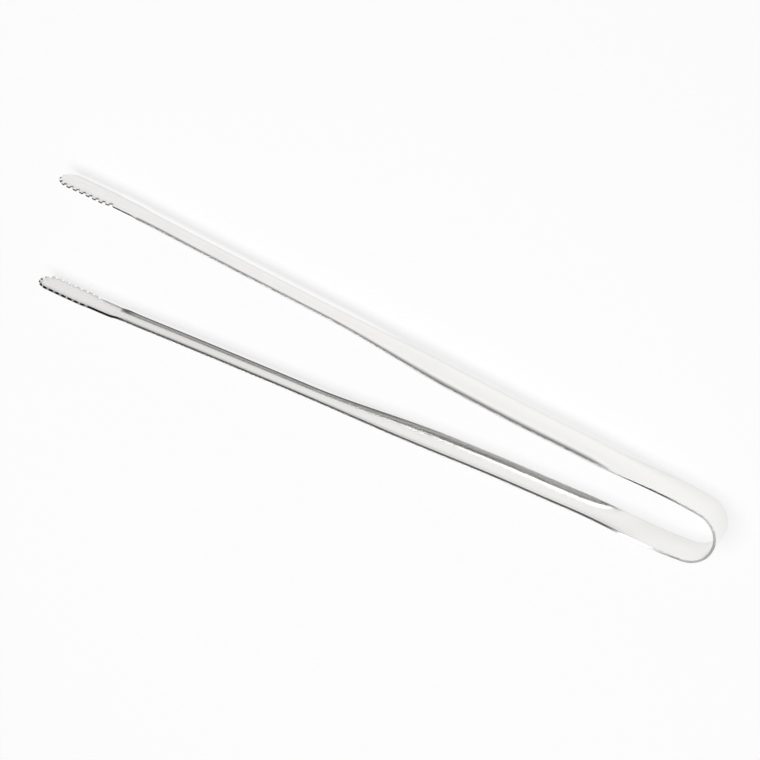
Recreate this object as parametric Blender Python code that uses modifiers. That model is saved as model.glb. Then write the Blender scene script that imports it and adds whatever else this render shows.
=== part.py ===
"""Kitchen tweezers: two channelled arms of sheet steel on a folded spring bow.

The tweezers lie on one side, open and relaxed. X runs along them, from the bow at the back to
the toothed spoons at +X. Y is the way they open. Z is the width of the sheet, and the origin is
on the surface they lie on, under the middle of their outline. All sizes are in metres.
"""

import math

import bmesh
import bpy
from mathutils import Matrix, Vector

MM = 0.001

# Overall sizes
LENGTH = 300 * MM
SHEET = 1.0 * MM
EDGE_ROUND = 0.22 * MM

# Spring bow
BOW_RADIUS = 10.9 * MM
BOW_LEG = 4.0 * MM
FLEX_GAP = 0.3 * MM
BOW_SEGMENTS = 40
LEG_SEGMENTS = 2

# Widths of the sheet along an arm
GRIP_WIDTH = 16.6 * MM
SHAFT_WIDTH = 10.1 * MM
NECK_WIDTH = 11.0 * MM
SPOON_WIDTH = 12.8 * MM

# Where an arm changes: the stretch that turns it from flat into a trough, and the shares of the
# length at which its taper starts and ends. At its end the shaft widens, is pressed shallower in a
# short stretch, and runs through a neck and a flare into the spoon
TROUGH_LENGTH = 42 * MM
TAPER_START_SHARE = 0.377
TAPER_END_SHARE = 0.580
WIDENING_LENGTH = 9 * MM
PRESS_LENGTH = 4 * MM
NECK_LENGTH = 9 * MM
FLARE_LENGTH = 5.4 * MM
SPOON_LENGTH = 22.6 * MM

# Section: the sheet is rolled to an arc, and this is half of the arc
TROUGH_HALF_ANGLE = math.radians(45)
SPOON_HALF_ANGLE = math.radians(34)

# Line of an arm's back: places along it, and the distance out from the middle plane
BACK_SPREAD = 25.9 * MM
BACK_LENGTH_SHARES = (0.167, 0.30, 0.433, 0.60, 0.75, 0.873, 0.94, 1.0)
BACK_SPREAD_SHARES = (0.560, 0.622, 0.710, 0.799, 0.888, 0.969, 0.995, 1.0)

# Rows of the loft along an arm, and facets across it
TROUGH_ROWS = 12
GRIP_ROWS = 8
TAPER_ROWS = 12
SHAFT_ROWS = 8
WIDENING_ROWS = 3
PRESS_ROWS = 5
NECK_ROWS = 4
FLARE_ROWS = 4
SPOON_ROWS = 4
NOSE_ROWS = 8
FACETS_ACROSS = 10

# Teeth: round notches cut in the spoon's rim. One arm has an odd number and the other an even one,
# so that the teeth of each face the notches of the other
RIGHT_NOTCH_COUNT = 21
LEFT_NOTCH_COUNT = 20
TOOTH_PITCH = 3.1 * MM
NOTCH_RADIUS = 0.75 * MM
NOTCH_INSET = 0.35 * MM
NOTCH_SIDES = 12

PART_NAME = "kitchen_tweezers"
CUTTER_NAME = "cutters"

NOSE_RADIUS = SPOON_WIDTH / 2
NOSE_CENTRE = LENGTH - NOSE_RADIUS
BOW_CENTRE = BOW_RADIUS
GRIP_END = TAPER_START_SHARE * LENGTH
SHAFT_START = TAPER_END_SHARE * LENGTH
SPOON_START = LENGTH - SPOON_LENGTH
FLARE_START = SPOON_START - FLARE_LENGTH
NECK_START = FLARE_START - NECK_LENGTH
PRESS_START = NECK_START - PRESS_LENGTH
SHAFT_END = PRESS_START - WIDENING_LENGTH
FLAT_ANGLE = math.radians(0.2)


def clear_scene():
    """Remove every object, so that only the part is left."""
    for obj in list(bpy.data.objects):
        bpy.data.objects.remove(obj, do_unlink=True)


def new_collection(name):
    """Add a collection to the scene."""
    collection = bpy.data.collections.new(name)
    bpy.context.scene.collection.children.link(collection)
    return collection


def steel():
    """Satin stainless steel."""
    material = bpy.data.materials.new("satin_stainless")
    material.use_nodes = True
    shader = material.node_tree.nodes["Principled BSDF"]
    shader.inputs["Base Color"].default_value = (0.74, 0.73, 0.71, 1.0)
    shader.inputs["Metallic"].default_value = 1.0
    shader.inputs["Roughness"].default_value = 0.3
    return material


def ease(place, start, end):
    """Share from 0 to 1 that rises smoothly between two places."""
    share = min(max((place - start) / (end - start), 0.0), 1.0)
    return share * share * (3.0 - 2.0 * share)


def smooth_through(places, values, place):
    """Smooth curve through points, read at one place; straight past its ends."""
    last = len(places) - 1
    slopes = []
    for i in range(last + 1):
        before = max(i - 1, 0)
        after = min(i + 1, last)
        slopes.append((values[after] - values[before]) / (places[after] - places[before]))
    if place <= places[0]:
        return values[0] + slopes[0] * (place - places[0])
    if place >= places[last]:
        return values[last] + slopes[last] * (place - places[last])
    i = max(k for k in range(last) if places[k] <= place)
    span = places[i + 1] - places[i]
    t = (place - places[i]) / span
    low = (1 + 2 * t) * (1 - t) ** 2 * values[i] + t * (1 - t) ** 2 * span * slopes[i]
    high = t * t * (3 - 2 * t) * values[i + 1] + t * t * (t - 1) * span * slopes[i + 1]
    return low + high


# The back line starts tangent to the bow, at the end of its legs
FIRST_PLACE = BACK_LENGTH_SHARES[0] * LENGTH
FIRST_SPREAD = BACK_SPREAD_SHARES[0] * BACK_SPREAD
LEG_SLOPE = math.atan((FIRST_SPREAD - BOW_RADIUS) / (FIRST_PLACE - BOW_CENTRE))
BOW_END = BOW_CENTRE - BOW_RADIUS * math.sin(LEG_SLOPE)
BOW_END_SPREAD = BOW_RADIUS * math.cos(LEG_SLOPE)
LEG_END = BOW_END + BOW_LEG * math.cos(LEG_SLOPE)
LEG_END_SPREAD = BOW_END_SPREAD + BOW_LEG * math.sin(LEG_SLOPE)
ARM_START = LEG_END + FLEX_GAP
TROUGH_FULL = ARM_START + TROUGH_LENGTH
BACK_PLACES = [BOW_END, LEG_END] + [share * LENGTH for share in BACK_LENGTH_SHARES]
BACK_SPREADS = [BOW_END_SPREAD, LEG_END_SPREAD] + [share * BACK_SPREAD for share in BACK_SPREAD_SHARES]


def back_line(place):
    """Distance of the arm's back from the middle plane."""
    return smooth_through(BACK_PLACES, BACK_SPREADS, place)


def sheet_width(place):
    """Width of the arm, before its nose is rounded."""
    taper = ease(place, GRIP_END, SHAFT_START)
    width = GRIP_WIDTH + (SHAFT_WIDTH - GRIP_WIDTH) * taper
    width += (NECK_WIDTH - SHAFT_WIDTH) * ease(place, SHAFT_END, FLARE_START)
    return width + (SPOON_WIDTH - NECK_WIDTH) * ease(place, FLARE_START, SPOON_START)


def half_angle(place):
    """Half of the section's arc: nearly flat at the bow, and shallower again from the neck on."""
    trough = FLAT_ANGLE + (TROUGH_HALF_ANGLE - FLAT_ANGLE) * ease(place, ARM_START, TROUGH_FULL)
    return trough + (SPOON_HALF_ANGLE - TROUGH_HALF_ANGLE) * ease(place, PRESS_START, NECK_START)


def section(place):
    """Radius of the section's arc, its centre's distance out, and half of its angle.

    The spoon ends in part of a sphere, so its arcs get smaller round the nose.
    """
    width = sheet_width(place)
    angle = half_angle(place)
    radius = width / 2 / math.sin(angle)
    centre = back_line(place) - radius
    past = max(place - NOSE_CENTRE, 0.0)
    row_radius = math.sqrt(radius ** 2 - past ** 2)
    half_width = math.sqrt(max((width / 2) ** 2 - past ** 2, 0.0))
    return row_radius, centre, math.asin(half_width / row_radius)


def arm_point(place, turn, side):
    """Point on the arm's outer surface; turn is the angle round its section."""
    radius, centre, _ = section(place)
    out = centre + radius * math.cos(turn)
    return Vector((place - LENGTH / 2, side * out, GRIP_WIDTH / 2 + radius * math.sin(turn)))


def spaced(start, end, count):
    """Evenly spaced places, with the first but not the last."""
    return [start + (end - start) * i / count for i in range(count)]


def arm_places():
    """Places of the loft's rows, closer together where the arm changes shape."""
    places = spaced(ARM_START, TROUGH_FULL, TROUGH_ROWS)
    places += spaced(TROUGH_FULL, GRIP_END, GRIP_ROWS)
    places += spaced(GRIP_END, SHAFT_START, TAPER_ROWS)
    places += spaced(SHAFT_START, SHAFT_END, SHAFT_ROWS)
    places += spaced(SHAFT_END, PRESS_START, WIDENING_ROWS)
    places += spaced(PRESS_START, NECK_START, PRESS_ROWS)
    places += spaced(NECK_START, FLARE_START, NECK_ROWS)
    places += spaced(FLARE_START, SPOON_START, FLARE_ROWS)
    places += spaced(SPOON_START, NOSE_CENTRE, SPOON_ROWS)
    nose_angles = spaced(0.0, math.pi / 2, NOSE_ROWS)
    places += [NOSE_CENTRE + NOSE_RADIUS * math.sin(angle) for angle in nose_angles]
    return places


def loft(rows, tip, flip):
    """Open surface through rows of points, closed on one point where tip is given."""
    surface = bmesh.new()
    rings = [[surface.verts.new(point) for point in row] for row in rows]
    for near, far in zip(rings, rings[1:]):
        for i in range(len(near) - 1):
            surface.faces.new((near[i], near[i + 1], far[i + 1], far[i]))
    if tip is not None:
        end = surface.verts.new(tip)
        last = rings[-1]
        for i in range(len(last) - 1):
            surface.faces.new((last[i], last[i + 1], end))
    if flip:
        bmesh.ops.reverse_faces(surface, faces=surface.faces[:])
    return surface


def sheet_object(name, surface, origin, material, collection):
    """Piece of sheet steel from its outer surface, with its origin on its joint's axis."""
    surface.transform(Matrix.Translation(-origin))
    mesh = bpy.data.meshes.new(name)
    surface.to_mesh(mesh)
    surface.free()
    mesh.materials.append(material)
    mesh.shade_smooth()
    obj = bpy.data.objects.new(name, mesh)
    obj.location = origin
    collection.objects.link(obj)
    wall = obj.modifiers.new("sheet", "SOLIDIFY")
    wall.thickness = SHEET
    wall.offset = -1.0
    wall.use_even_offset = True
    rounding = obj.modifiers.new("rounded_edges", "BEVEL")
    rounding.width = EDGE_ROUND
    rounding.segments = 1
    rounding.limit_method = "ANGLE"
    rounding.angle_limit = math.radians(60)
    return obj


def make_bow(material, collection):
    """Folded spring: half a turn of flat strip, with two short legs."""
    sweep = math.pi / 2 - LEG_SLOPE
    path = []
    for i in range(LEG_SEGMENTS):
        share = 1 - i / LEG_SEGMENTS
        path.append((BOW_END + (LEG_END - BOW_END) * share,
                     -BOW_END_SPREAD - (LEG_END_SPREAD - BOW_END_SPREAD) * share))
    for i in range(BOW_SEGMENTS + 1):
        turn = -sweep + 2 * sweep * i / BOW_SEGMENTS
        path.append((BOW_CENTRE - BOW_RADIUS * math.cos(turn), BOW_RADIUS * math.sin(turn)))
    for place, spread in reversed(path[:LEG_SEGMENTS]):
        path.append((place, -spread))
    rows = []
    for place, spread in path:
        x = place - LENGTH / 2
        rows.append((Vector((x, spread, 0.0)), Vector((x, spread, GRIP_WIDTH))))
    origin = Vector((BOW_CENTRE - LENGTH / 2, 0.0, GRIP_WIDTH / 2))
    return sheet_object("spring_bow", loft(rows, None, False), origin, material, collection)


def make_arm(name, side, material, collection):
    """Arm with its grip, shaft and spoon; side is -1 on the right and 1 on the left."""
    rows = []
    for place in arm_places():
        reach = section(place)[2]
        turns = [-reach + 2 * reach * i / FACETS_ACROSS for i in range(FACETS_ACROSS + 1)]
        rows.append([arm_point(place, turn, side) for turn in turns])
    tip = arm_point(LENGTH, 0.0, side)
    pivot_x = LEG_END + FLEX_GAP / 2 - LENGTH / 2
    pivot = Vector((pivot_x, side * (LEG_END_SPREAD - SHEET / 2), GRIP_WIDTH / 2))
    return sheet_object(name, loft(rows, tip, side < 0), pivot, material, collection)


def rim_place(travel, side):
    """Point on the spoon's outer rim, and the sheet's inward and normal directions there.

    Travel is the distance along the rim from the nose, positive towards the upper edge.
    """
    quarter = NOSE_RADIUS * math.pi / 2
    around = min(max(travel, -quarter), quarter) / NOSE_RADIUS
    back_off = max(abs(travel) - quarter, 0.0)
    place = NOSE_CENTRE + NOSE_RADIUS * math.cos(around) - back_off
    radius, centre, reach = section(place)
    turn = math.copysign(reach, around)
    rim = arm_point(place, turn, side)
    sphere = radius if back_off > 0 else math.hypot(radius, NOSE_RADIUS * math.cos(around))
    axis_place = place if back_off > 0 else NOSE_CENTRE
    middle = Vector((axis_place - LENGTH / 2, side * centre, GRIP_WIDTH / 2))
    normal = (rim - middle) / sphere
    along = Vector((-math.sin(around), 0.0, math.cos(around)))
    inward = along.cross(normal).normalized()
    if inward.dot(Vector((0.0, side, 0.0))) < 0:
        inward = -inward
    return rim, inward, normal.normalized()


def make_notches(name, side, count, collection):
    """Cutters for the notches between the teeth, square to the sheet."""
    tools = bmesh.new()
    for i in range(count):
        travel = (i - (count - 1) / 2) * TOOTH_PITCH
        rim, inward, normal = rim_place(travel, side)
        centre = rim + inward * NOTCH_INSET - normal * (SHEET / 2)
        turn = Vector((0.0, 0.0, 1.0)).rotation_difference(normal).to_matrix().to_4x4()
        bmesh.ops.create_cone(
            tools, cap_ends=True, segments=NOTCH_SIDES, radius1=NOTCH_RADIUS, radius2=NOTCH_RADIUS,
            depth=3 * SHEET, matrix=Matrix.Translation(centre) @ turn)
    mesh = bpy.data.meshes.new(name)
    tools.to_mesh(mesh)
    tools.free()
    cutter = bpy.data.objects.new(name, mesh)
    cutter.hide_render = True
    cutter.display_type = "WIRE"
    collection.objects.link(cutter)
    return cutter


def cut_teeth(arm, cutter):
    """Cut the notches out of an arm's spoon."""
    cut = arm.modifiers.new("teeth", "BOOLEAN")
    cut.operation = "DIFFERENCE"
    cut.solver = "EXACT"
    cut.object = cutter


def main():
    clear_scene()
    parts = new_collection(PART_NAME)
    cutters = new_collection(CUTTER_NAME)
    material = steel()
    make_bow(material, parts)
    arms = (("right_arm", -1, RIGHT_NOTCH_COUNT), ("left_arm", 1, LEFT_NOTCH_COUNT))
    for name, side, notch_count in arms:
        arm = make_arm(name, side, material, parts)
        cut_teeth(arm, make_notches(name + "_notches", side, notch_count, cutters))


main()
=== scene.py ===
"""Kitchen tweezers: satin stainless strip with a folded bow and toothed spoon tips."""

import math

import bpy
import numpy as np
from mathutils import Matrix, Vector
from mathutils.geometry import delaunay_2d_cdt


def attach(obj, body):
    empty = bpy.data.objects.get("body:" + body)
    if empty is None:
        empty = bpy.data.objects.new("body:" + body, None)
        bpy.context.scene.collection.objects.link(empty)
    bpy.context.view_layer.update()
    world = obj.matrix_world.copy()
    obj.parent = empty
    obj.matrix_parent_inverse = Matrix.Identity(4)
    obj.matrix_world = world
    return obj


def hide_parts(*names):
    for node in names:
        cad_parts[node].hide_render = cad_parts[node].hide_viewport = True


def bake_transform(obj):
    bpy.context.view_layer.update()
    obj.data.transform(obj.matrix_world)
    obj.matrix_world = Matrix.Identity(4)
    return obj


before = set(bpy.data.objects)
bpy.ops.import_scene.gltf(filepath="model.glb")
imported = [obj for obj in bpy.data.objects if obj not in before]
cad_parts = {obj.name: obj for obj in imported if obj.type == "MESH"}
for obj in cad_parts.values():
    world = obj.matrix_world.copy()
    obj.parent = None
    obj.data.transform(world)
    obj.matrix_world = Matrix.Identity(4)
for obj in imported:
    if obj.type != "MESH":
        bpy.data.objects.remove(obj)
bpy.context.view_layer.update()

MM = 0.001

# The strip's sizes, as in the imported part. Places are distances from the back of the bow.
LENGTH = 300 * MM
SHEET = 1.0 * MM
BOW_RADIUS = 10.9 * MM
BOW_LEG = 4.0 * MM
FLEX_GAP = 0.3 * MM
GRIP_WIDTH = 16.6 * MM
SHAFT_WIDTH = 10.1 * MM
NECK_WIDTH = 11.0 * MM
SPOON_WIDTH = 12.8 * MM
TROUGH_LENGTH = 42 * MM
GRIP_END = 0.377 * LENGTH
SHAFT_START = 0.58 * LENGTH
SPOON_START = LENGTH - 22.6 * MM
FLARE_START = SPOON_START - 5.4 * MM
NECK_START = FLARE_START - 9 * MM
PRESS_START = NECK_START - 4 * MM
SHAFT_END = PRESS_START - 9 * MM
TROUGH_HALF_ANGLE = math.radians(45)
SPOON_HALF_ANGLE = math.radians(34)
FLAT_ANGLE = math.radians(0.2)
BACK_SPREAD = 25.9 * MM
BACK_LENGTH_SHARES = (0.167, 0.30, 0.433, 0.60, 0.75, 0.873, 0.94, 1.0)
BACK_SPREAD_SHARES = (0.560, 0.622, 0.710, 0.799, 0.888, 0.969, 0.995, 1.0)
RIGHT_NOTCH_COUNT = 21
LEFT_NOTCH_COUNT = 20
TOOTH_PITCH = 3.1 * MM
NOTCH_RADIUS = 0.75 * MM
NOTCH_INSET = 0.35 * MM

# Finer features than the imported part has
EDGE_ROUND = 0.16 * MM
TOOTH_CORNER = 0.18 * MM

# Spacing and counts of the mesh
STEP = 1.6 * MM
OUTLINE_CLEARANCE = 0.28 * MM
ACROSS = 20
LEAST_ACROSS = 2
ROUND_STEPS = 4
BOW_STEPS = 150
LEG_STEPS = 6
SECTION_POINTS = 9
CORNER_POINTS = 6
NOTCH_POINTS = 17
SIDE_POINTS = 172
TOOTH_PARTS = 4

# Short distances over which slopes and directions are measured
SLOPE_PROBE = 0.02 * MM
RIM_PROBE = 0.05 * MM

# Kind of output that keeps the triangles inside the outline, and the weld distance in mm
TRIANGLES_INSIDE = 1
WELD = 1e-5

NOSE_RADIUS = SPOON_WIDTH / 2
NOSE_CENTRE = LENGTH - NOSE_RADIUS


def ease(x, start, end):
    """Share from 0 to 1 that rises smoothly between two places."""
    t = np.clip((x - start) / (end - start), 0.0, 1.0)
    return t * t * (3.0 - 2.0 * t)


def smooth_through(places, values, x):
    """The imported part's smooth curve through points, for an array of places."""
    places, values = np.array(places), np.array(values)
    last = len(places) - 1
    before = np.maximum(np.arange(last + 1) - 1, 0)
    after = np.minimum(np.arange(last + 1) + 1, last)
    slopes = (values[after] - values[before]) / (places[after] - places[before])
    i = np.clip(np.searchsorted(places, x, side="right") - 1, 0, last - 1)
    span = places[i + 1] - places[i]
    t = (x - places[i]) / span
    inside = ((1 + 2 * t) * (1 - t) ** 2 * values[i] + t * (1 - t) ** 2 * span * slopes[i]
              + t * t * (3 - 2 * t) * values[i + 1] + t * t * (t - 1) * span * slopes[i + 1])
    low = values[0] + slopes[0] * (x - places[0])
    high = values[last] + slopes[last] * (x - places[last])
    return np.where(x <= places[0], low, np.where(x >= places[last], high, inside))


FIRST_PLACE = BACK_LENGTH_SHARES[0] * LENGTH
FIRST_SPREAD = BACK_SPREAD_SHARES[0] * BACK_SPREAD
LEG_SLOPE = math.atan((FIRST_SPREAD - BOW_RADIUS) / (FIRST_PLACE - BOW_RADIUS))
BOW_END = BOW_RADIUS - BOW_RADIUS * math.sin(LEG_SLOPE)
BOW_END_SPREAD = BOW_RADIUS * math.cos(LEG_SLOPE)
LEG_END = BOW_END + BOW_LEG * math.cos(LEG_SLOPE)
LEG_END_SPREAD = BOW_END_SPREAD + BOW_LEG * math.sin(LEG_SLOPE)
ARM_START = LEG_END + FLEX_GAP
JOIN = LEG_END + FLEX_GAP / 2
TROUGH_FULL = ARM_START + TROUGH_LENGTH
BACK_PLACES = [BOW_END, LEG_END] + [share * LENGTH for share in BACK_LENGTH_SHARES]
BACK_SPREADS = [BOW_END_SPREAD, LEG_END_SPREAD]
BACK_SPREADS += [share * BACK_SPREAD for share in BACK_SPREAD_SHARES]


def back_line(x):
    """Distance of the strip's back from the middle plane."""
    return smooth_through(BACK_PLACES, BACK_SPREADS, x)


def half_width(x):
    """Half of the strip's width, before the nose is rounded."""
    width = GRIP_WIDTH + (SHAFT_WIDTH - GRIP_WIDTH) * ease(x, GRIP_END, SHAFT_START)
    width = width + (NECK_WIDTH - SHAFT_WIDTH) * ease(x, SHAFT_END, FLARE_START)
    return (width + (SPOON_WIDTH - NECK_WIDTH) * ease(x, FLARE_START, SPOON_START)) / 2


def half_angle(x):
    """Half of the angle that the strip's curved section spans."""
    trough = FLAT_ANGLE + (TROUGH_HALF_ANGLE - FLAT_ANGLE) * ease(x, ARM_START, TROUGH_FULL)
    return trough + (SPOON_HALF_ANGLE - TROUGH_HALF_ANGLE) * ease(x, PRESS_START, NECK_START)


def spread(x, z):
    """Distance of the strip's outer surface from the middle plane, over a point of its plan."""
    radius = half_width(x) / np.sin(half_angle(x))
    past = np.maximum(x - NOSE_CENTRE, 0.0)
    # the square root is written so that a nearly flat section keeps its digits
    drop = (z * z + past * past) / (radius + np.sqrt(radius * radius - z * z - past * past))
    return back_line(x) - drop


def shell_frame(x, z):
    """Outer surface's points and outward normals, on the +Y side, over points of the plan."""
    d = SLOPE_PROBE
    slope_x = (spread(x + d, z) - spread(x - d, z)) / (2 * d)
    slope_z = (spread(x, z + d) - spread(x, z - d)) / (2 * d)
    points = np.stack([x - LENGTH / 2, spread(x, z), z + GRIP_WIDTH / 2], 1)
    normals = np.stack([-slope_x, np.ones_like(x), -slope_z], 1)
    return points, normals / np.linalg.norm(normals, axis=1)[:, None]


QUARTER = NOSE_RADIUS * math.pi / 2
RIM_END = QUARTER + NOSE_CENTRE - JOIN


def rim_plan(travel):
    """Rim's point in the plan; travel runs along the rim from the nose, positive at +Z."""
    around = np.clip(travel, -QUARTER, QUARTER) / NOSE_RADIUS
    x = NOSE_CENTRE + NOSE_RADIUS * np.cos(around) - np.maximum(np.abs(travel) - QUARTER, 0.0)
    on_side = np.abs(travel) > QUARTER
    z = np.where(on_side, np.sign(travel) * half_width(x), NOSE_RADIUS * np.sin(around))
    return x, z


def plan(travel, inset):
    """Point of the plan at a distance inwards from the rim, measured on the curved surface."""
    d = RIM_PROBE
    x, z = rim_plan(travel)
    xa, za = rim_plan(travel + d)
    xb, zb = rim_plan(travel - d)
    along = np.stack([xa - xb, za - zb], 1)
    along /= np.linalg.norm(along, axis=1)[:, None]
    inward = np.stack([-along[:, 1], along[:, 0]], 1)
    rise = (spread(x + inward[:, 0] * d, z + inward[:, 1] * d) - spread(x, z)) / d
    reach = inset / np.sqrt(1 + rise * rise)
    return x + inward[:, 0] * reach, z + inward[:, 1] * reach


def rim_outline(notch_count):
    """Outline as (travel, inset) points with their directions into the material.

    It runs from one end of the arm round the nose to the other, with a round notch between
    each two teeth, whose corners are rounded too.
    """
    run = NOTCH_RADIUS + TOOTH_CORNER
    reach = math.sqrt(run ** 2 - (TOOTH_CORNER - NOTCH_INSET) ** 2)
    tilt = math.atan2(TOOTH_CORNER - NOTCH_INSET, reach)
    notch = []
    for a in np.linspace(-90, math.degrees(tilt) - 180, CORNER_POINTS):
        a = math.radians(a)
        notch.append((reach + TOOTH_CORNER * math.cos(a), TOOTH_CORNER * (1 + math.sin(a)),
                      -math.cos(a), -math.sin(a)))
    for a in np.linspace(math.degrees(tilt), 180 - math.degrees(tilt), NOTCH_POINTS)[1:-1]:
        a = math.radians(a)
        notch.append((NOTCH_RADIUS * math.cos(a), NOTCH_INSET + NOTCH_RADIUS * math.sin(a),
                      math.cos(a), math.sin(a)))
    notch += [(-t, s, -nt, ns) for t, s, nt, ns in reversed(notch[:CORNER_POINTS])]
    first = (notch_count - 1) / 2 * TOOTH_PITCH
    rows = [(t, 0.0, 0.0, 1.0) for t in np.linspace(RIM_END, first + 2 * reach, SIDE_POINTS)]
    for i in range(notch_count):
        middle = first - i * TOOTH_PITCH
        rows += [(middle + t, s, nt, ns) for t, s, nt, ns in notch]
        if i < notch_count - 1:
            gap = TOOTH_PITCH - 2 * reach
            rows += [(middle - reach - gap * k / TOOTH_PARTS, 0.0, 0.0, 1.0)
                     for k in range(1, TOOTH_PARTS)]
    rows += [(-t, s, nt, ns) for t, s, nt, ns in reversed(rows[:SIDE_POINTS])]
    return np.array(rows)


def edge_steps():
    """Steps round the strip's cut edge: inset, depth, and the normal's shares out and sideways."""
    steps = []
    for i in range(ROUND_STEPS + 1):
        a = math.pi / 2 * i / ROUND_STEPS
        steps.append((EDGE_ROUND * (1 - math.sin(a)), EDGE_ROUND * (1 - math.cos(a)),
                      math.cos(a), math.sin(a)))
    return steps + [(e, SHEET - d, -out, aside) for e, d, out, aside in reversed(steps)]


def inside(x, z, loop):
    """Which points of the plan lie inside a closed outline."""
    found = np.zeros(len(x), bool)
    for (xa, za), (xb, zb) in zip(loop, np.roll(loop, -1, axis=0)):
        crosses = (za > z) != (zb > z)
        if za != zb:
            found ^= crosses & (x < xa + (xb - xa) * (z - za) / (zb - za))
    return found


def plan_grid(loop):
    """Triangles over the plan inside an outline, on rows across the strip."""
    rows = []
    for x in np.arange(JOIN + STEP, LENGTH, STEP):
        width = half_width(np.array([x]))[0]
        if x > NOSE_CENTRE:
            width = math.sqrt(max(NOSE_RADIUS ** 2 - (x - NOSE_CENTRE) ** 2, 0.0))
        count = max(LEAST_ACROSS, round(ACROSS * width / (GRIP_WIDTH / 2)))
        rows += [(x, z) for z in np.linspace(-width, width, count + 1)]
    rows = np.array(rows)
    rows = rows[inside(rows[:, 0], rows[:, 1], loop)]
    near = np.full(len(rows), np.inf)
    for point in loop:
        near = np.minimum(near, np.hypot(rows[:, 0] - point[0], rows[:, 1] - point[1]))
    rows = rows[near > OUTLINE_CLEARANCE]
    # the outline is closed across the strip at its joined end
    across = np.linspace(loop[-1][1], loop[0][1], ACROSS + 1)[1:-1]
    closing = np.stack([np.full(len(across), JOIN), across], 1)
    ring = np.concatenate([loop, closing])
    points = [Vector(p / MM) for p in np.concatenate([ring, rows])]
    edges = [(i, (i + 1) % len(ring)) for i in range(len(ring))]
    made = delaunay_2d_cdt(points, edges, [], TRIANGLES_INSIDE, WELD)
    assert len(made[0]) == len(points)
    return np.array([list(p) for p in made[0]]) * MM, made[2], len(ring)


def add_mesh(name, points, faces, normals, strip, marks):
    """Mesh object with its own normals, its place along and across the strip, and its marks.

    The marks are shares at each point: cut on the cut edges, notch down in the notches, and
    inner from the outer face to the inner one.
    """
    mesh = bpy.data.meshes.new(name)
    mesh.from_pydata([tuple(p) for p in points], [], [tuple(f) for f in faces])
    mesh.validate()
    obj = bpy.data.objects.new(name, mesh)
    bpy.context.scene.collection.objects.link(obj)
    mesh.shade_smooth()
    layer = mesh.uv_layers.new(name="strip")
    corner = np.zeros(len(mesh.loops), np.int32)
    mesh.loops.foreach_get("vertex_index", corner)
    layer.uv.foreach_set("vector", np.asarray(strip, np.float32)[corner].ravel())
    for mark, shares in marks.items():
        mark_layer = mesh.attributes.new(mark, "FLOAT", "POINT")
        mark_layer.data.foreach_set("value", np.asarray(shares, np.float32))
    mesh.normals_split_custom_set_from_vertices([tuple(n) for n in normals])
    return obj


def arm(name, side, notch_count):
    """One arm: both faces of the sheet, and its rounded edge with the teeth."""
    outline = rim_outline(notch_count)
    steps = edge_steps()
    d = RIM_PROBE
    rings = []
    for inset, _, _, _ in steps:
        t = outline[:, 0] + outline[:, 2] * inset
        s = outline[:, 1] + outline[:, 3] * inset
        rings.append((t, s, *plan(t, s)))
    loop = np.stack([rings[0][2], rings[0][3]], 1)
    flat, triangles, ring_count = plan_grid(loop)
    count = len(loop)
    base, up = shell_frame(flat[:, 0], flat[:, 1])
    points = [base]
    normals = [up]
    strip = [flat]
    cut = [np.zeros(len(flat))]
    inner = [np.zeros(len(flat))]
    depths = np.concatenate([outline[:, 1], np.zeros(len(flat) - count)])
    depths /= NOTCH_RADIUS + NOTCH_INSET
    notch = np.concatenate([depths] + [depths[:count]] * (len(steps) - 2) + [depths])
    for k in range(1, len(steps) - 1):
        inset, depth, out, aside = steps[k]
        t, s, x, z = rings[k]
        p, n = shell_frame(x, z)
        # directions along the rim and inwards on the surface
        xa, za = plan(t + d, s)
        xb, zb = plan(t, s + d)
        along = shell_frame(xa, za)[0] - p
        inward = shell_frame(xb, zb)[0] - p
        along /= np.linalg.norm(along, axis=1)[:, None]
        inward /= np.linalg.norm(inward, axis=1)[:, None]
        across = along * outline[:, 2:3] + inward * outline[:, 3:4]
        points.append(p - n * depth)
        normals.append(n * out - across * aside)
        strip.append(np.stack([x, z + np.sign(z) * depth], 1))
        cut.append(np.full(count, aside))
        inner.append(np.full(count, depth / SHEET))
    points.append(base - up * SHEET)
    normals.append(-up)
    strip.append(flat)
    cut.append(np.zeros(len(flat)))
    inner.append(np.ones(len(flat)))
    starts = np.cumsum([0] + [len(p) for p in points])
    faces = [tuple(reversed(f)) for f in triangles]
    faces += [tuple(starts[-2] + i for i in f) for f in triangles]
    ends = list(starts[:-1])
    for a, b in zip(ends, ends[1:]):
        for i in range(count - 1):
            faces.append((a + i, b + i, b + i + 1, a + i + 1))
    # flat end where the arm joins the bow
    outer = [count - 1] + list(range(count, ring_count)) + [0]
    cap = outer + ends[1:-1] + [ends[-1] + i for i in reversed(outer)]
    cap += [s + count - 1 for s in reversed(ends[1:-1])]
    faces.append(tuple(reversed(cap)))
    points = np.concatenate(points)
    normals = np.concatenate(normals)
    points[:, 1] *= side
    normals[:, 1] *= side
    if side < 0:
        faces = [tuple(reversed(f)) for f in faces]
    marks = {"cut": np.concatenate(cut), "notch": notch, "inner": np.concatenate(inner)}
    return add_mesh(name, points, faces, normals, np.concatenate(strip), marks)


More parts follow.
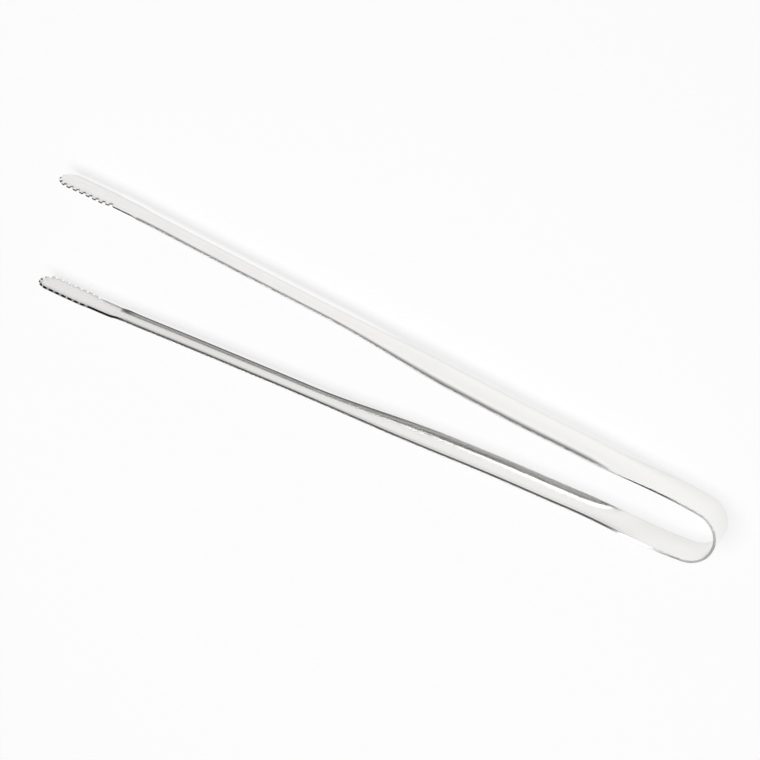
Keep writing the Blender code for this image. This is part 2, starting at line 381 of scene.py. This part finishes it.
def bow(name):
    """The folded spring: the strip's section swept from one leg round to the other."""
    sweep = math.pi / 2 - LEG_SLOPE
    leg = JOIN / math.cos(LEG_SLOPE) - BOW_END / math.cos(LEG_SLOPE)
    path = []
    for i in range(LEG_STEPS):
        back = leg * (1 - i / LEG_STEPS)
        path.append((BOW_END + back * math.cos(LEG_SLOPE),
                     -BOW_END_SPREAD - back * math.sin(LEG_SLOPE), -sweep))
    for a in np.linspace(-sweep, sweep, BOW_STEPS + 1):
        path.append((BOW_RADIUS - BOW_RADIUS * math.cos(a), BOW_RADIUS * math.sin(a), a))
    path += [(x, -y, sweep) for x, y, _ in reversed(path[:LEG_STEPS])]
    steps = edge_steps()
    half = GRIP_WIDTH / 2
    widths = np.linspace(-half + EDGE_ROUND, half - EDGE_ROUND, SECTION_POINTS)
    section = [(z, 0.0, 1.0, 0.0) for z in widths]
    section += [(half - e, d, out, aside) for e, d, out, aside in steps[1:-1]]
    section += [(z, SHEET, -1.0, 0.0) for z in reversed(widths)]
    section += [(-half + e, d, out, -aside) for e, d, out, aside in reversed(steps[1:-1])]
    points, normals, strip, cut, inner = [], [], [], [], []
    for x, y, a in path:
        # distance along the strip, which runs on into the arms
        past_bend = max(math.hypot(x, y) - math.hypot(BOW_END, BOW_END_SPREAD), 0.0)
        travel = BOW_RADIUS * abs(a) + past_bend - BOW_RADIUS * sweep - leg
        out = Vector((-math.cos(a), math.sin(a), 0.0))
        for z, depth, share, aside in section:
            middle = Vector((x - LENGTH / 2, y, z + half))
            points.append(middle - out * depth)
            normals.append((out * share + Vector((0, 0, 1)) * aside).normalized())
            strip.append((JOIN + travel, z))
            cut.append(abs(aside))
            inner.append(depth / SHEET)
    size = len(section)
    faces = []
    for i in range(len(path) - 1):
        for k in range(size):
            a, b = i * size + k, i * size + (k + 1) % size
            faces.append((a, b, b + size, a + size))
    faces.append(tuple(reversed(range(size))))
    faces.append(tuple(range(len(points) - size, len(points))))
    marks = {"cut": cut, "notch": np.zeros(len(points)), "inner": inner}
    return add_mesh(name, points, faces, normals, strip, marks)


# Materials

GRAIN_DARK, GRAIN_LIGHT = (0.83, 0.82, 0.805, 1), (0.88, 0.875, 0.86, 1)
STREAK = (0.90, 0.895, 0.885, 1)
SMUDGE = (0.80, 0.785, 0.765, 1)
# Painted light on the grips
GRIP_PAINTED_LIGHT = (0.96, 0.955, 0.945, 1)
# Painted shade in the channel, on its walls and at the press
CHANNEL_SHADE = (0.55, 0.545, 0.535, 1)
CHANNEL_WALL_SHADE = (0.40, 0.396, 0.39, 1)
PRESS_SHADE = (0.12, 0.119, 0.117, 1)
# Cut edges: dull, with a darker tone that is partly painted shade
EDGE_DARK, EDGE_LIGHT = (0.45, 0.445, 0.44, 1), (0.55, 0.545, 0.535, 1)
# Painted shade on the spoons' upper rims; the notches between them stay lighter
TOOTH_SHADE_DARK, TOOTH_SHADE_LIGHT = (0.05, 0.0495, 0.049, 1), (0.10, 0.099, 0.097, 1)
NOTCH_DARK, NOTCH_LIGHT = (0.36, 0.357, 0.35, 1), (0.50, 0.495, 0.487, 1)
# Painted light on the lower rims
LOWER_EDGE_PAINTED_LIGHT = (0.75, 0.745, 0.735, 1)

# Where the painted shade at the press and the painted rim tones start, are full and fade along the
# strip
TONE_START = PRESS_START - 3 * MM
TONE_FULL = PRESS_START + 0.5 * MM
PRESS_SHADE_FADE = NECK_START - 1.2 * MM


def node_adder(owner):
    """Clears the nodes of a material or world and gives a short way to add and link them."""
    owner.use_nodes = True
    tree = owner.node_tree
    tree.nodes.clear()

    def add(kind, values=None, **settings):
        node = tree.nodes.new(kind)
        for key, value in settings.items():
            setattr(node, key, value)
        for key, value in (values or {}).items():
            if isinstance(value, bpy.types.NodeSocket):
                tree.links.new(value, node.inputs[key])
            else:
                node.inputs[key].default_value = value
        return node

    return add


def calc(add, operation, *values):
    """Result of a maths node on one or two values."""
    return add("ShaderNodeMath", dict(enumerate(values)), operation=operation).outputs[0]


def steel():
    """Satin stainless: fine grain along the strip, faint smudges, and duller cut edges.

    The darker channel and walls, the dark patch at the press and the dark upper cut edges of the
    spoons are painted shade, and the paler grips and lighter lower rims are painted light. They
    are matched to the photograph at fixed places along the strip. The darker tone of the other cut
    edges is partly painted shade.
    """
    material = bpy.data.materials.new("satin_stainless")
    add = node_adder(material)
    strip = add("ShaderNodeUVMap", uv_map="strip").outputs["UV"]
    place = add("ShaderNodeTexCoord").outputs["Object"]
    cut = add("ShaderNodeAttribute", attribute_name="cut").outputs["Fac"]
    notch = add("ShaderNodeAttribute", attribute_name="notch").outputs["Fac"]
    inner = add("ShaderNodeAttribute", attribute_name="inner").outputs["Fac"]

    lines = add("ShaderNodeMapping", {"Vector": strip, "Scale": (55, 4200, 1)})
    grain = add("ShaderNodeTexNoise", {"Vector": lines.outputs[0], "Scale": 1.0, "Detail": 3.0,
                                       "Roughness": 0.6}, noise_dimensions="2D").outputs["Fac"]
    broad = add("ShaderNodeMapping", {"Vector": strip, "Scale": (9, 420, 1)})
    streaks = add("ShaderNodeTexNoise", {"Vector": broad.outputs[0], "Scale": 1.0, "Detail": 2.0},
                  noise_dimensions="2D").outputs["Fac"]
    smudges = add("ShaderNodeTexNoise", {"Vector": place, "Scale": 70.0, "Detail": 4.0,
                                         "Roughness": 0.55}).outputs["Fac"]
    shear = add("ShaderNodeMapping", {"Vector": strip, "Scale": (5200, 700, 1)})
    sheared = add("ShaderNodeTexNoise", {"Vector": shear.outputs[0], "Scale": 1.0, "Detail": 2.0},
                  noise_dimensions="2D").outputs["Fac"]

    def mix(factor, a, b):
        return add("ShaderNodeMix", {"Factor": factor, "A": a, "B": b},
                   data_type="RGBA", clamp_factor=True).outputs["Result"]

    def ramp(value, low, high, to_low, to_high):
        return add("ShaderNodeMapRange", {"Value": value, "From Min": low, "From Max": high,
                                          "To Min": to_low, "To Max": to_high}).outputs["Result"]

    def product(a, b):
        return calc(add, "MULTIPLY", a, b)

    def total(a, b):
        return calc(add, "ADD", a, b)

    face = mix(ramp(grain, 0.3, 0.7, 0.0, 1.0), GRAIN_DARK, GRAIN_LIGHT)
    face = mix(ramp(streaks, 0.35, 0.75, 0.0, 0.5), face, STREAK)
    face = mix(ramp(smudges, 0.5, 0.8, 0.0, 0.4), face, SMUDGE)
    along, across = add("ShaderNodeSeparateXYZ", {0: strip}).outputs[:2]
    # painted light: the grips are painted palest, as brighter reflection, and the tips darker
    face = mix(ramp(along, 0.30 * LENGTH, 0.85 * LENGTH, 0.75, 0.0), face, GRIP_PAINTED_LIGHT)
    on_inner = ramp(inner, 0.2, 0.8, 0.0, 1.0)
    # painted shade: the inner face is painted darkest in the shafts' channels
    depth = product(ramp(along, 0.45 * LENGTH, 0.75 * LENGTH, 0.1, 0.3),
                    ramp(along, PRESS_START, FLARE_START, 1.0, 0.55))
    face = mix(product(on_inner, depth), face, CHANNEL_SHADE)
    # painted shade: the channel's walls are painted darker towards their rims
    from_middle = calc(add, "ABSOLUTE", across)
    half = ramp(along, GRIP_END, SHAFT_START, GRIP_WIDTH / 2, SHAFT_WIDTH / 2)
    wall_shade = product(ramp(calc(add, "DIVIDE", from_middle, half), 0.55, 1.0, 0.0, 0.9),
                   ramp(along, 0.25 * LENGTH, 0.55 * LENGTH, 0.0, 1.0))
    wall_shade = product(wall_shade, ramp(along, PRESS_START, NECK_START, 1.0, 0.0))
    face = mix(product(on_inner, wall_shade), face, CHANNEL_WALL_SHADE)
    # painted shade: the walls get a dark patch of painted shade at the press, where the channel
    # ends
    mark = product(ramp(along, TONE_START, TONE_FULL, 0.0, 0.85),
                   ramp(along, PRESS_SHADE_FADE, NECK_START, 1.0, 0.0))
    mark = product(mark, ramp(from_middle, 0.28 * SHAFT_WIDTH, 0.42 * SHAFT_WIDTH, 0.0, 1.0))
    face = mix(product(on_inner, mark), face, PRESS_SHADE)
    # the cut edges are dull, with a darker tone that is partly painted shade, and they are painted
    # dark as shade along the spoons' upper rims but for the notches
    speckle = ramp(sheared, 0.3, 0.7, 0.0, 1.0)
    edge = mix(speckle, EDGE_DARK, EDGE_LIGHT)
    rim_shading = mix(ramp(notch, 0.1, 0.6, 0.0, 1.0), mix(speckle, TOOTH_SHADE_DARK, TOOTH_SHADE_LIGHT),
                mix(speckle, NOTCH_DARK, NOTCH_LIGHT))
    # painted light: the lower rims are painted light
    rim_shading = mix(ramp(across, -1 * MM, 1 * MM, 1.0, 0.0), rim_shading, LOWER_EDGE_PAINTED_LIGHT)
    edge = mix(ramp(along, TONE_START, TONE_FULL, 0.0, 1.0), edge, rim_shading)
    colour = mix(ramp(cut, 0.3, 0.8, 0.0, 1.0), face, edge)

    rough = total(ramp(grain, 0.3, 0.7, 0.17, 0.22), ramp(smudges, 0.4, 0.8, 0.0, 0.04))
    rough = total(rough, ramp(cut, 0.55, 0.95, 0.0, 0.12))
    rough = total(rough, ramp(notch, 0.1, 0.6, 0.0, 0.25))
    height = total(ramp(grain, 0.0, 1.0, 0.0, 1.0), ramp(streaks, 0.0, 1.0, 0.0, 0.5))
    bump = add("ShaderNodeBump", {"Strength": 0.25, "Distance": 0.000006, "Height": height})

    shader = add("ShaderNodeBsdfPrincipled", {"Base Color": colour, "Metallic": 1.0,
                                              "Roughness": rough, "Normal": bump.outputs[0]})
    add("ShaderNodeOutputMaterial", {"Surface": shader.outputs[0]})
    return material


FLOOR_GLOW = 0.80


def floor_material():
    """White floor, which also shows white to the camera and in the metal, less its shadows."""
    material = bpy.data.materials.new("studio_floor")
    add = node_adder(material)
    rays = add("ShaderNodeLightPath").outputs
    seen = calc(add, "MAXIMUM", rays["Is Camera Ray"], rays["Is Glossy Ray"])
    seen = calc(add, "MAXIMUM", seen, rays["Is Transmission Ray"])
    paper = add("ShaderNodeTexCoord").outputs["Object"]
    mottle = add("ShaderNodeTexNoise", {"Vector": paper, "Scale": 3.0}).outputs["Fac"]
    colour = add("ShaderNodeMapRange", {"Value": mottle, "To Min": 0.93, "To Max": 0.95})
    cloth = add("ShaderNodeBsdfDiffuse", {"Color": colour.outputs[0]})
    glow = add("ShaderNodeEmission", {"Color": (1, 1, 1, 1), "Strength": 1.0})
    share = calc(add, "MULTIPLY", seen, FLOOR_GLOW)
    shader = add("ShaderNodeMixShader", {0: share, 1: cloth.outputs[0], 2: glow.outputs[0]})
    add("ShaderNodeOutputMaterial", {"Surface": shader.outputs[0]})
    return material


# Pieces

metal = steel()
pieces = [bow("bow_strip"), arm("right_arm_strip", -1, RIGHT_NOTCH_COUNT),
          arm("left_arm_strip", 1, LEFT_NOTCH_COUNT)]
for piece in pieces:
    piece.data.materials.append(metal)
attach(pieces[0], "bow")
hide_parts("spring_bow")
for piece, body, side in ((pieces[1], "right", -1), (pieces[2], "left", 1)):
    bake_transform(piece)
    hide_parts(body + "_arm")

# Floor, light and camera

bpy.ops.mesh.primitive_plane_add(size=6.0, location=(0, 0, -0.05 * MM))
floor = bpy.context.object
floor.name = "studio_floor"
floor.data.materials.append(floor_material())

# Brightness of the surroundings by height, from the horizon to straight up
DOME_TONES = ((0.0, 1.0), (0.19, 1.0), (0.31, 0.32), (0.41, 0.14), (0.50, 0.09), (0.72, 0.04),
              (1.0, 0.03))

world = bpy.data.worlds.new("studio")
bpy.context.scene.world = world
sky = node_adder(world)
direction = sky("ShaderNodeTexCoord").outputs["Generated"]
axes = sky("ShaderNodeSeparateXYZ", {0: direction}).outputs
by_height = sky("ShaderNodeValToRGB", {"Fac": axes["Z"]})
stops = by_height.color_ramp.elements
for place, tone in DOME_TONES:
    stop = stops[0] if place == 0.0 else stops[-1] if place == 1.0 else stops.new(place)
    stop.color = (tone, tone, tone, 1)
# it is darker towards +Y
to_side = sky("ShaderNodeMapRange", {"Value": axes["Y"], "From Min": -0.25, "From Max": 0.45,
                                     "To Min": 1.04, "To Max": 0.2},
              interpolation_type="SMOOTHSTEP").outputs[0]
level = calc(sky, "MULTIPLY", by_height.outputs["Color"], to_side)
rays = sky("ShaderNodeLightPath").outputs
backdrop = sky("ShaderNodeBackground", {"Color": (1, 1, 1, 1), "Strength": 1.0})
dome = sky("ShaderNodeBackground", {"Color": (1, 1, 1, 1), "Strength": level})
both = sky("ShaderNodeMixShader", {0: rays["Is Camera Ray"], 1: dome.outputs[0],
                                   2: backdrop.outputs[0]})
sky("ShaderNodeOutputWorld", {"Surface": both.outputs[0]})


def softbox(name, place, aim, size, watts):
    """Rectangular lamp aimed at a point."""
    lamp = bpy.data.lights.new(name, "AREA")
    lamp.shape = "RECTANGLE"
    lamp.size, lamp.size_y = size
    lamp.energy = watts
    obj = bpy.data.objects.new(name, lamp)
    obj.location = place
    obj.rotation_euler = (Vector(aim) - Vector(place)).to_track_quat("-Z", "Y").to_euler()
    bpy.context.scene.collection.objects.link(obj)


softbox("overhead_softbox", (0.0, 0.10, 1.15), (0, 0, 0), (1.0, 0.5), 13.0)

# Camera at the photograph's angle: elevation and turn about the tweezers, and its roll
scene = bpy.context.scene
scene.view_settings.view_transform = "Standard"
TILT, TURN, ROLL = math.radians(29), math.radians(15.74), math.radians(16.44)
AIM = Vector((-4.9 * MM, -0.4 * MM, GRIP_WIDTH / 2))
DISTANCE = 0.8
LENS = 97.0
away = Vector((-math.sin(TURN), -math.sin(TILT) * math.cos(TURN), math.cos(TILT) * math.cos(TURN)))
right = Vector((0, -1, 0)).cross(away).normalized()
up = away.cross(right)
rolled_right = math.cos(ROLL) * right + math.sin(ROLL) * up
rolled_up = -math.sin(ROLL) * right + math.cos(ROLL) * up
spot = AIM + DISTANCE * away
camera = bpy.data.objects.new("camera", bpy.data.cameras.new("camera"))
camera.data.sensor_width = 36
camera.data.lens = LENS
camera.data.clip_start = 0.01
camera.matrix_world = Matrix(
    [[rolled_right[i], rolled_up[i], away[i], spot[i]] for i in range(3)] + [[0, 0, 0, 1]])
scene.collection.objects.link(camera)
scene.camera = camera
